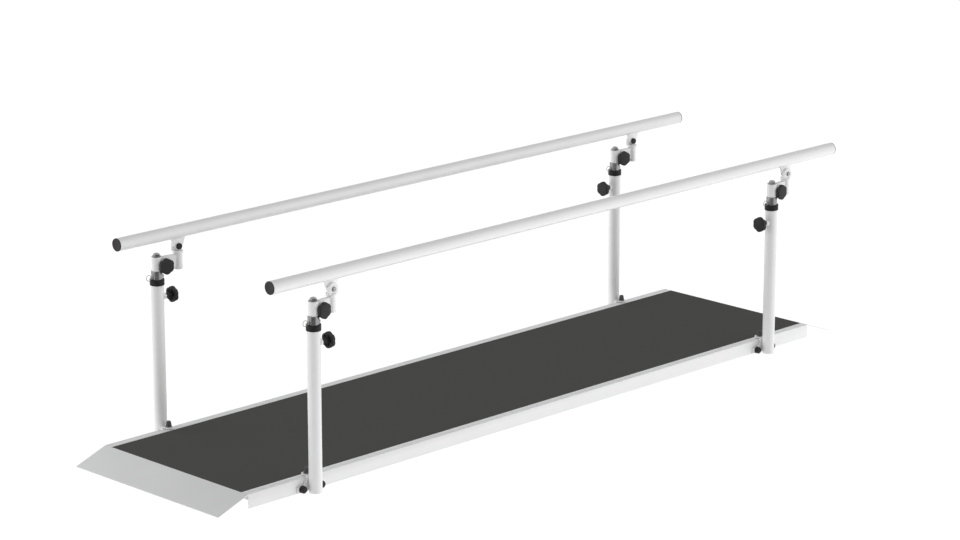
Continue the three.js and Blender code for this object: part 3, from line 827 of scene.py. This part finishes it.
def collar_model(sizes):
    """The guide collar: a skirt over the post, a stepped rim and a lip round the inner tube."""
    outer = sizes.collar_diameter / 2 / MM
    guide = sizes.inner_diameter / 2 / MM + 0.3
    seat = sizes.post_diameter / 2 / MM + 0.3
    bottom = POST_TOP - 19
    profile = [
        (seat, bottom), (outer - 1.8, bottom), *arc((outer - 1.8, bottom + 1.8), 1.8, -90, 0, 4),
        (outer, bottom + 5), (outer - 0.5, bottom + 5.4), (outer - 0.5, bottom + 6.4),
        (outer, bottom + 6.8), *arc((outer - 1.2, COLLAR_TOP - 1.2), 1.2, 0, 90, 4),
        (outer - 2.6, COLLAR_TOP), (outer - 3.4, COLLAR_TOP - 1.1), (guide + 0.8, COLLAR_TOP - 1.1),
        (guide, COLLAR_TOP - 1.9), (guide, POST_TOP + 0.3), (seat, POST_TOP + 0.3), (seat, bottom),
    ]
    return smooth(turned("collar", profile, 72))


class BarsCollars(Operator):
    """Model the black guide collars on the posts"""

    bl_idname = "bars.collars"
    bl_label = "Collars"

    def execute(self, context):
        model = collar_model(context.scene.bars_sizes)
        at_corners(model, "collar", *BLACK, node="collar")
        return {"FINISHED"}


def inner_tube_model(sizes):
    """The telescopic tube with its pin holes, top plug, spindle and thread."""
    outer = sizes.inner_diameter / 2 / MM
    inner = outer - sizes.inner_wall / MM
    spindle, thread, bottom, plug, pitch, holes = 12.5, 8, 72.5, 12, 40, 7
    profile = [
        (0, SHOULDER - plug), (inner, SHOULDER - plug), (inner, bottom), (outer, bottom),
        *arc((outer - 0.6, SHOULDER - 0.6), 0.6, 0, 90, 3), (spindle, SHOULDER),
        (spindle, HUB_TOP - 0.4), (spindle - 0.4, HUB_TOP), (thread - 0.8, HUB_TOP),
    ]
    root, turns, lead, end = thread - 0.9, 5, 1.6, HUB_TOP + 8.8
    for step in range(turns):
        height = HUB_TOP + 0.6 + step * lead
        profile += [(root, height), (thread, height + lead / 2)]
    profile += [(root, end), (0, end)]
    tube = turned("inner_tube", profile, 72)
    for step in range(holes):
        place = (0, 0, PIN_HEIGHT - step * pitch)
        drilled(tube, 12.6, -outer - 2, outer + 2, 40, TO_RIGHT, place)
    return smooth(tube)


def arm_nut_model():
    """Washer and domed cap nut on the spindle's thread."""
    low = HUB_TOP + 0.3
    washer = turned("arm_nut", [
        (8.4, low), (17.6, low), (18, low + 0.4), (18, low + 2), (17.6, low + 2.4),
        (8.4, low + 2.4), (8.4, low),
    ], 56)
    nut, top = low + 2.3, low + 9.4
    ring = [(8.6, nut), (13, nut), (13, top), (8.6, top), (8.6, nut)]
    hexagon = moved(turned("hexagon", ring, 6), (0, 0, math.radians(30)))
    cone = turned("cone", [
        (0, nut - 0.2), (11.9, nut - 0.2), (13.4, nut + 1), (13.4, nut + 5.6),
        (11.6, nut + 7.2), (0, nut + 7.2),
    ], 56)
    combine(hexagon, cone, "INTERSECT")
    dome = turned("dome", [
        (8.6, nut + 6.6), (11.2, nut + 6.6), (11.1, nut + 7.4), (10.2, nut + 9.2),
        (8.3, nut + 10.6), (5.5, nut + 11.4), (2.6, nut + 11.7), (0, nut + 11.7),
        (0, nut + 9.4), (8.6, nut + 7), (8.6, nut + 6.6),
    ], 40)
    for part in (washer, hexagon, dome):
        smooth(part)
    return gathered(washer, hexagon, dome)


class BarsInnerTubes(Operator):
    """Model the telescopic tubes and the cap nuts on their spindles"""

    bl_idname = "bars.inner_tubes"
    bl_label = "Inner tubes"

    def execute(self, context):
        model = inner_tube_model(context.scene.bars_sizes)
        at_corners(model, "inner_tube", "bare_steel", "drawn_steel", "tube", "inner_tube")
        at_corners(arm_nut_model(), "arm_nut", *ZINC, "tube", "arm_nut")
        return {"FINISHED"}


def lock_pin_model(sizes):
    """The lock pin along X, its flat tab on the -X side and two catch balls near its end."""
    reach = sizes.inner_diameter / 2 / MM
    head, tail = -reach - 3, reach + 8
    shank = turned("lock_pin", [
        (0, head), (5.4, head), (6, head + 0.6), (6, tail - 5.2), (5.6, tail - 4.8),
        (5.6, tail - 4.2), (6, tail - 3.8), (6, tail - 1.5), (4.5, tail), (0, tail),
    ], 40)
    moved(shank, TO_RIGHT)
    outline = [
        (head + 0.5, -4.5), (head + 0.5, 4.5), *arc((head - 3.9, 1.4), 3.1, 90, 180, 5),
        *arc((head - 3.9, -1.4), 3.1, 180, 270, 5),
    ]
    tab = plate("tab", outline, -2, 2, "Z")
    soften(tab, 0.5, 2, 40)
    drilled(tab, 3.8, -4, 4, 24, place=(head - 3.7, 0, 0))
    joined(shank, tab)
    for y in (-5.2, 5.2):
        alone()
        bpy.ops.mesh.primitive_uv_sphere_add(segments=16, ring_count=10, radius=1.7 * MM)
        joined(shank, moved(named("ball"), place=(tail - 6.5, y, 0)))
    return moved(smooth(shank), place=(0, 0, PIN_HEIGHT))


def pull_ring_model(sizes):
    """A split ring of two flat turns through the tab's hole."""
    radius = sizes.ring_diameter / 2 / MM
    flat, side, thick, edge = 0.9, 1.1, 0.34, 0.15
    section = [
        (radius - flat, -thick), (radius + flat, -thick), (radius + side, -edge),
        (radius + side, edge), (radius + flat, thick), (radius - flat, thick),
        (radius - side, edge), (radius - side, -edge),
    ]
    line_of([(x, 0, z - 0.74) for x, z in section])
    bpy.ops.mesh.edge_face_add()
    done()
    ring = named("pull_ring")
    bpy.ops.object.modifier_add(type="SCREW")
    screw = ring.modifiers[-1]
    screw.axis = "Z"
    screw.angle = 4 * math.pi
    screw.screw_offset = 1.48 * MM
    screw.steps = screw.render_steps = 128
    screw.use_merge_vertices = False
    bpy.ops.object.modifier_apply(modifier=screw.name)
    alone(ring)
    edit()
    tidy_faces()
    bpy.ops.mesh.fill_holes(sides=len(section))
    tidy_faces()
    done()
    return ring


class BarsLockPins(Operator):
    """Model the lock pins and their pull rings"""

    bl_idname = "bars.lock_pins"
    bl_label = "Lock pins"

    def execute(self, context):
        sizes = context.scene.bars_sizes
        at_corners(lock_pin_model(sizes), "lock_pin", *ZINC, "pin", "lock_pin")
        low, high = (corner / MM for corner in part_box("front_left_pin_ring"))
        centre = (low + high) / 2 - corner_place("front", "left")
        ring = moved(pull_ring_model(sizes), (math.pi / 2, 0.7, 0))
        moved(smooth(ring, 40), place=centre)
        at_corners(ring, "pull_ring", *ZINC, "ring", "pin_ring")
        return {"FINISHED"}


# Swing arms

def swing_arm_model(sizes):
    """Hub, web and end tube of the arm along +X, split for its clamp, with weld beads."""
    hub = sizes.hub_diameter / 2 / MM
    end = sizes.end_tube_diameter / 2 / MM
    web, slot, slot_end, weld, bore, seat = 9, 1.25, 48, 4.5, 12.8, 9.3
    bottom, top = HUB_BOTTOM - 2, HUB_TOP + 2
    arm = turned("swing_arm", [
        (bore, HUB_BOTTOM), (hub - 1, HUB_BOTTOM),
        *arc((hub - 1, HUB_BOTTOM + 1), 1, -90, 0, 3), *arc((hub - 1, HUB_TOP - 1), 1, 0, 90, 3),
        (bore, HUB_TOP), (bore, HUB_BOTTOM),
    ], 72)
    tube = turned("end_tube", [
        (seat, END_TUBE_BOTTOM), (end - 2.6, END_TUBE_BOTTOM),
        *arc((end - 2.6, END_TUBE_BOTTOM + 2.6), 2.6, -90, 0, 5),
        *arc((end - 1, HUB_TOP - 1), 1, 0, 90, 3), (seat, HUB_TOP), (seat, END_TUBE_BOTTOM),
    ], 64)
    moved(tube, place=(ARM_REACH, 0, 0))
    bar = block("web", (15, -web, HUB_BOTTOM + 3.2), (ARM_REACH - 12, web, HUB_TOP - 3))
    soften(bar, 1.6, 3, 35, lambda p: 20 < p.x < ARM_REACH - 16)
    joined(arm, bar, tube)
    cut(
        arm,
        block("slot", (10, -slot, bottom), (slot_end, slot, top)),
        moved(rod("relief", 6, bottom, top, 32), place=(slot_end, 0, 0)),
        moved(rod("drill", BOLT_HOLE, -14, 14, 32), TO_FRONT, (ARM_KNOB_REACH, 0, ARM_KNOB_HEIGHT)),
    )
    beads = []
    hub_seam = math.sqrt(hub * hub - web * web) + 0.4
    end_seam = ARM_REACH - math.sqrt(end * end - web * web) - 0.4
    for y in (-web - 0.2, web + 0.2):
        for x in (hub_seam, end_seam):
            beads.append(bead((x, y, HUB_BOTTOM + weld), (x, y, HUB_TOP - weld)))
    for x in (hub - 0.2, ARM_REACH - end + 0.2):
        beads.append(bead((x, -web + 2, HUB_TOP - 3.2), (x, web - 2, HUB_TOP - 3.2), 1.4))
    return welded(arm, *beads)


def arm_turn(way, end):
    return -way * ARM_TURN


class BarsSwingArms(Operator):
    """Model the swing arms"""

    bl_idname = "bars.swing_arms"
    bl_label = "Swing arms"

    def execute(self, context):
        model = swing_arm_model(context.scene.bars_sizes)
        at_corners(model, "swing_arm", *PAINT, "arm", "swing_arm", arm_turn)
        return {"FINISHED"}


# Knobs

def knob_model(sizes, hub_radius, hub_length, stud_length):
    """A lobed knob along Z, its back at zero, hollow and ribbed behind, and its stud."""
    radius = sizes.knob_diameter / 2 / MM
    depth = sizes.lobe_depth / MM
    lobes = sizes.knob_lobes
    thick = sizes.knob_thickness / MM
    rim, inset, crown = 3.2, 0.115, 0.9
    alone()
    bpy.ops.mesh.primitive_circle_add(vertices=lobes * 18, radius=radius * MM, fill_type="NGON")
    edit()
    mesh = bpy.context.edit_object.data
    for point in bmesh.from_edit_mesh(mesh).verts:
        angle = math.atan2(point.co.y, point.co.x)
        wave = ((1 + math.cos(lobes * angle)) / 2 + 0.012) ** 0.4
        reach = radius - depth * max(0, 1 - wave)
        point.co.xy = reach * MM * math.cos(angle), reach * MM * math.sin(angle)
    bmesh.update_edit_mesh(mesh)
    bpy.ops.mesh.select_all(action="SELECT")
    layers = [(0.93, 0), (0.972, 0.6), (0.994, 1.8), (1, rim)]
    for step in range(6):
        angle = math.radians(90 * step / 5)
        height = thick - rim - crown + rim * math.sin(angle)
        layers.append((1 - (1 - math.cos(angle)) * inset, height))
    layers += [(0.8, thick - 0.55), (0.64, thick - 0.25), (0.44, thick - 0.08), (0.22, thick)]
    scale, height = layers[0]
    bpy.ops.transform.resize(value=(scale, scale, 1), center_override=(0, 0, 0))
    for next_scale, next_height in layers[1:]:
        rise = {"value": (0, 0, (next_height - height) * MM)}
        bpy.ops.mesh.extrude_region_move(TRANSFORM_OT_translate=rise)
        ratio = next_scale / scale
        bpy.ops.transform.resize(value=(ratio, ratio, 1), center_override=(0, 0, next_height * MM))
        scale, height = next_scale, next_height
    tidy_faces()
    done()
    knob = named("knob")
    cut(knob, turned("hollow", [(0, -1), (21.4, -1), (20.6, 4.4), (19.8, 5), (0, 5)], 48))
    ribs = []
    for step in range(lobes):
        rib = block("rib", (hub_radius - 2, -1, 1.4), (21.8, 1, 6))
        ribs.append(moved(rib, (0, 0, 2 * math.pi * step / lobes)))
    hub = turned("hub", [
        (0, -hub_length), (hub_radius - 0.8, -hub_length),
        *arc((hub_radius - 0.8, -hub_length + 0.8), 0.8, -90, 0, 3),
        (hub_radius, -1.5), (hub_radius + 0.6, thick - 4), (0, thick - 4),
    ], 40)
    joined(knob, joined(hub, *ribs))
    return smooth(knob, 38), stud_model(-hub_length, -hub_length - stud_length)


def stud_model(top, bottom):
    """A threaded stud along Z."""
    root, crest, pitch = 4.2, 5, 1.5
    profile = [(0, bottom), (3.6, bottom)]
    for step in range(int((top - bottom - 1) / pitch)):
        height = bottom + 0.6 + step * pitch
        profile += [(root, height), (crest, height + pitch * 0.35), (crest, height + pitch * 0.6)]
    profile += [(root, top - 0.4), (root, top + 0.4), (0, top + 0.4)]
    return smooth(turned("stud", profile, 28), 50)


def end_turn(way, end):
    return half_turn(end > 0)


class BarsKnobs(Operator):
    """Model the clamp knobs of the swing arms and of the posts"""

    bl_idname = "bars.knobs"
    bl_label = "Clamp knobs"

    def execute(self, context):
        sizes = context.scene.bars_sizes
        on_arm, on_post = (ARM_KNOB_REACH, 0, ARM_KNOB_HEIGHT), (0, 0, HEIGHT_KNOB_HEIGHT)
        half_lobe = math.pi / sizes.knob_lobes
        for kind, back, hub_and_stud, roll, turn, place, turn_of in (
            ("arm", 22, (7, 12.7, 22.3), half_lobe, TO_FRONT, on_arm, arm_turn),
            ("height", 62, (10, 24, 16.5), 0, TO_RIGHT, on_post, end_turn),
        ):
            body, node = f"{kind}_clamp", f"{kind}_knob"
            knob, stud = knob_model(sizes, *hub_and_stud)
            for piece in (knob, stud):
                moved(piece, place=(0, 0, back))
                moved(piece, (0, 0, roll))
                moved(piece, turn, place)
            at_corners(knob, node, "knob_plastic", "moulded_knob", body, node, turn_of)
            at_corners(stud, f"{kind}_stud", *ZINC, body, None, turn_of)
        return {"FINISHED"}


# Swivel ears and pivots, modelled round the end tube's axis with the ear on the -Y side

def side_turn(way, end):
    return half_turn(way > 0)


def ear_shift(way, end):
    return (ARM_ALONG, -way * RAIL_INSET, 0)


def swivel_ear_model():
    """A flange with its pin in the end tube, and the upright ear that the rail turns on."""
    low, high, pin = HUB_TOP + 0.3, HUB_TOP + 9.8, END_TUBE_BOTTOM + 5
    half, back, face = 22.5, -14.3, -4.3
    flange = turned("swivel_ear", [
        (0, pin), (8.4, pin), (9, pin + 0.6), (9, low), (18.8, low),
        *arc((18.8, low + 1.2), 1.2, -90, 0, 3), *arc((18.2, high - 1.8), 1.8, 0, 90, 4), (0, high),
    ], 64)
    outline = [(-half, high - 1), (half, high - 1), *arc((0, PIVOT_HEIGHT), half, 0, 180, 20)]
    ear = plate("ear", outline, back, face, "Y")
    soften(ear, 0.8, 2, 35, lambda p: p.z > high)
    drilled(ear, BOLT_HOLE, -2, 20, 40, TO_FRONT, (0, 0, PIVOT_HEIGHT))
    joined(flange, ear)
    return welded(flange, bead((-12, back - 0.3, high), (12, back - 0.3, high)))


def at_pivot(piece, turn=TO_FRONT):
    """Shades a turned part of the pivot and lays it on the pivot's axis."""
    return moved(smooth(piece, 35), turn, (0, 0, PIVOT_HEIGHT))


def pivot_bolt_model():
    """Round-headed bolt with its washer and shank, along Y with the head outboard."""
    return at_pivot(turned("pivot_bolt", [
        (0, -4.2), (5, -4.2), (5, 14.6), (9, 14.6), (9, 15.8), (8.1, 16), (8.5, 16.4), (8.3, 18.1),
        (7.5, 19.5), (6.9, 19.9), (6.5, 19.3), (2.6, 19.3), (2.6, 17.6), (0, 17.6),
    ], 48))


def pivot_face_model():
    """The face of the bolt's head, set into its rim, with the hexagon socket; its steel is lighter
    and less metallic than the rim's, as a painted highlight.
    """
    profile = [(0, 19.35), (6.3, 19.35), (6.3, 20.2), (5.6, 20.8), (4.4, 21.05), (0, 21.1)]
    face = turned("pivot_face", profile, 48)
    return at_pivot(cut(face, turned("socket", [(0, 18.5), (2.4, 18.6), (2.4, 23), (0, 23)], 6)))


def pivot_cap_model():
    """Black round cap over the bolt's nut, inboard."""
    return at_pivot(turned("pivot_cap", [
        (0, 4.3), (11.2, 4.3), *arc((10.7, 4.9), 0.8, -40, 0, 2), (11.5, 6),
        *arc((9.5, 11.1), 2, 0, 80, 6), (7.6, 13.3), (6.4, 12.7), (5, 12.4), (0, 12.3),
    ], 56), TO_BACK)


class BarsSwivelEars(Operator):
    """Model the swivel ears with the pivot bolts and caps of the rails"""

    bl_idname = "bars.swivel_ears"
    bl_label = "Swivel ears"

    def execute(self, context):
        for model_of, part, slot, finish, node in (
            (swivel_ear_model, "swivel_ear", *PAINT, "swivel_ear"),
            (pivot_bolt_model, "pivot_bolt", *ZINC, "pivot_bolt"),
            # The bolt's face gets lighter steel than its rim, as a painted highlight.
            (pivot_face_model, "pivot_face", "bare_steel", "ground_steel", None),
            (pivot_cap_model, "pivot_cap", *BLACK, None),
        ):
            at_corners(model_of(), part, slot, finish, "ear", node, side_turn, ear_shift)
        return {"FINISHED"}


# Hand rails

def hand_rail_model(sizes):
    """The rail about its own axis, with two lugs welded under it; the right one is slotted."""
    outer = sizes.rail_diameter / 2 / MM
    inner = outer - sizes.rail_wall / MM
    half, chamfer, end_zone = RAIL_END - 3.3, 0.4, 60
    tube = turned("hand_rail", [
        (inner, -half), (outer - chamfer, -half), (outer, -half + chamfer),
        (outer, -half + end_zone), (outer, half - end_zone), (outer, half - chamfer),
        (outer - chamfer, half), (inner, half), (inner, -half),
    ], 72)
    moved(tube, TO_RIGHT)
    drop, top, root, waist, tip = RAIL_HEIGHT - PIVOT_HEIGHT, -22.8, 32, 24, 9
    beads = []
    for end in ENDS.values():
        x = end * POST_SPAN / 2
        outline = [
            (x - root, top),
            *eased((x - root, top), (x - waist, 6 - drop), (x - tip, -8.5 - drop), 5),
            *arc((x, -2.9 - drop), 10.6, -148, -32, 10),
            *eased((x + tip, -8.5 - drop), (x + waist, 6 - drop), (x + root, top), 5),
            (x + root, top),
        ]
        lug = plate("lug", outline, -4, 4, "Y")
        soften(lug, 0.8, 2, 35, lambda p: p.z < -25)
        creep = 2.4 if end > 0 else 0
        for shift in (-creep, creep) if creep else (0,):
            drilled(lug, BOLT_HOLE, -6, 6, 40, TO_FRONT, (x + shift, 0, -drop))
        if creep:
            cut(lug, block("slot", (x - creep, -6, -drop - 5.3), (x + creep, 6, -drop + 5.3)))
        joined(tube, lug)
        for y in (-4.8, 4.8):
            beads.append(bead((x - 31, y, -23.7), (x + 31, y, -23.7)))
    return welded(tube, *beads)


def rail_cap_model(sizes):
    """The right end cap: plug with grip ribs and a flat rim with rounded edges, along X."""
    outer = sizes.rail_diameter / 2 / MM
    plug = outer - sizes.rail_wall / MM - 0.3
    core, rim, rounding = plug - 0.6, -3, 1.2
    profile = [(0, -23), (plug - 1.5, -23), (core, -21.5)]
    for height in (-19, -15, -11, -7):
        profile += [(core, height), (plug, height + 0.8), (core, height + 1.6)]
    profile += [
        (core, rim), (outer, rim), *arc((outer - rounding, -rounding), rounding, 0, 90, 5),
        (outer - 4, -0.02), (outer - 5, -0.3), (0, -0.3),
    ]
    return moved(smooth(turned("rail_cap", profile, 64)), TO_RIGHT, (RAIL_END, 0, 0))


class BarsHandRails(Operator):
    """Model the hand rails and their end caps"""

    bl_idname = "bars.hand_rails"
    bl_label = "Hand rails"

    def execute(self, context):
        sizes = context.scene.bars_sizes
        model = hand_rail_model(sizes)
        cap = rail_cap_model(sizes)
        for side in SIDES:
            low, high = (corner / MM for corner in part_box(f"{side}_rail"))
            place = Vector(((low.x + high.x) / 2, (low.y + high.y) / 2, RAIL_HEIGHT))
            rail = copied(model, f"{side}.rail", 0, place)
            fitted(rail, f"{side}_rail", *PAINT, f"{side}_rail")
            for end, way in ENDS.items():
                piece = copied(cap, f"{side}.{end}_end_cap", half_turn(way < 0), place)
                node = f"{side}_rail_{end}_cap"
                fitted(piece, f"{side}_rail", "end_cap_plastic", "moulded_cap", node)
        bpy.data.objects.remove(model)
        bpy.data.objects.remove(cap)
        return {"FINISHED"}


# Stage

def world_light(settings):
    """White behind the object; the light itself is dimmer from above, from front and back."""
    scene = bpy.context.scene
    scene.world = scene.world or bpy.data.worlds.new("studio")
    sky = Nodes(scene.world)
    place = sky.node("TexCoord").outputs["Generated"]
    height = sky.node("SeparateXYZ", {0: place}).outputs["Z"]
    low, side, top = settings.floor_light, settings.side_light, settings.top_light
    fall = sky.ranged(height, low, side, -0.6, 0, "SMOOTHSTEP")
    rise = sky.ranged(height, fall, top, -0.05, 0.75, "SMOOTHSTEP")
    inputs = {0: place, 1: (-0.707, -0.707, 0)}
    facing = sky.node("VectorMath", inputs, operation="DOT_PRODUCT").outputs["Value"]
    either_way = sky.calculated("ABSOLUTE", facing)
    shade = sky.ranged(either_way, 1, 1 - settings.front_shade, 0.4, 1, "SMOOTHSTEP")
    strength = sky.calculated("MULTIPLY", rise, shade)
    soft = sky.node("Background", {"Strength": strength}).outputs[0]
    white = sky.node("Background", {"Color": (1, 1, 1, 1)}).outputs[0]
    mixed = sky.node("MixShader", {0: sky.seen_by_eye(), 1: soft, 2: white}).outputs[0]
    sky.node("OutputWorld", {"Surface": mixed})


def floor_material():
    """A pale plain floor that keeps the shadow and shows white where nothing shades it."""
    material = bpy.data.materials.new("floor")
    floor = Nodes(material)
    matt = floor.node("BsdfDiffuse", {"Color": (0.3, 0.3, 0.3, 1)}).outputs[0]
    pale = floor.node("BsdfDiffuse", {"Color": (0.8, 0.8, 0.8, 1)}).outputs[0]
    white = floor.node("Emission", {"Strength": 0.88}).outputs[0]
    lifted = floor.node("AddShader", {0: matt, 1: white}).outputs[0]
    inputs = {0: floor.seen_by_eye(), 1: pale, 2: lifted}
    mixed = floor.node("MixShader", inputs).outputs[0]
    floor.node("OutputMaterial", {"Surface": mixed})
    return material


def softbox(name, place):
    """A large soft lamp aimed at the middle of the object."""
    alone()
    bpy.ops.object.light_add(type="AREA", location=place)
    lamp = bpy.context.view_layer.objects.active
    lamp.name = name
    lamp.data.shape = "RECTANGLE"
    lamp.data.size, lamp.data.size_y, lamp.data.energy = 4, 2.5, 20
    aim = Vector((0, 0, 0.4)) - Vector(place)
    lamp.rotation_euler = aim.to_track_quat("-Z", "Y").to_euler()
    lamp.visible_camera = False


def dark_card():
    """A large grey card on the camera's side, seen in reflections only, for the metal's form."""
    alone()
    bpy.ops.mesh.primitive_plane_add(size=1)
    card = named("dark_card")
    card.scale = (19, 11, 1)
    card.rotation_euler = (math.pi / 2, 0, -math.pi / 4)
    card.location = (-7.8, -7.8, -2.8)
    settle(card)
    material = bpy.data.materials.new("card")
    material.use_nodes = True
    shader = material.node_tree.nodes["Principled BSDF"]
    shader.inputs["Base Color"].default_value = (0.15, 0.15, 0.15, 1)
    shader.inputs["Roughness"].default_value = 1
    card.data.materials.append(material)
    card.visible_camera = card.visible_diffuse = False
    card.visible_shadow = card.visible_transmission = False


class BarsStageSetup(Operator):
    """Set up the camera, the floor and the soft studio light"""

    bl_idname = "bars.stage"
    bl_label = "Stage"

    def execute(self, context):
        settings = context.scene.bars_stage
        alone()
        bpy.ops.object.camera_add(location=CAMERA_PLACE, rotation=CAMERA_TURN)
        camera = bpy.context.view_layer.objects.active
        camera.data.sensor_width = SENSOR_WIDTH
        camera.data.lens = CAMERA_LENS
        camera.data.clip_end = 500
        context.scene.camera = camera
        alone()
        bpy.ops.mesh.primitive_plane_add(size=settings.floor_size, location=(0, 0, -0.5 * MM))
        floor = named("floor")
        settle(floor)
        floor.data.materials.append(floor_material())
        floor.visible_diffuse = floor.visible_glossy = False
        world_light(settings)
        dark_card()
        softbox("left_softbox", (-3.5, 4.5, 2.2))
        softbox("right_softbox", (4.5, -3.5, 2.2))
        context.scene.view_settings.view_transform = "Standard"
        return {"FINISHED"}


# Panel and registration

STEPS = (
    BarsFinishMaterials, BarsSideRails, BarsMat, BarsRamps, BarsPosts, BarsNutCaps, BarsCollars,
    BarsInnerTubes, BarsLockPins, BarsSwingArms, BarsKnobs, BarsSwivelEars, BarsHandRails,
    BarsStageSetup,
)


class BarsPanel(Panel):
    """Sizes, finishes and steps of the walking bars"""

    bl_idname = "VIEW3D_PT_walking_bars"
    bl_label = "Walking Parallel Bars"
    bl_space_type = "VIEW_3D"
    bl_region_type = "UI"
    bl_category = "Parallel Bars"

    def draw(self, context):
        layout = self.layout
        for name in GROUPS:
            group, box = getattr(context.scene, name), layout.box()
            for entry in group.__annotations__:
                box.prop(group, entry)
        for step in STEPS:
            layout.operator(step.bl_idname)


GROUPS = {"bars_sizes": BarsSizes, "bars_finishes": BarsFinishes, "bars_stage": BarsStage}


def register():
    for group in (*GROUPS.values(), *STEPS, BarsPanel):
        bpy.utils.register_class(group)
    for name, group in GROUPS.items():
        setattr(bpy.types.Scene, name, bpy.props.PointerProperty(type=group))


def unregister():
    for name in GROUPS:
        delattr(bpy.types.Scene, name)
    for group in reversed((*GROUPS.values(), *STEPS, BarsPanel)):
        bpy.utils.unregister_class(group)


def main():
    register()
    for step in STEPS:
        family, name = step.bl_idname.split(".")
        getattr(getattr(bpy.ops, family), name)()


if __name__ == "__main__":
    main()
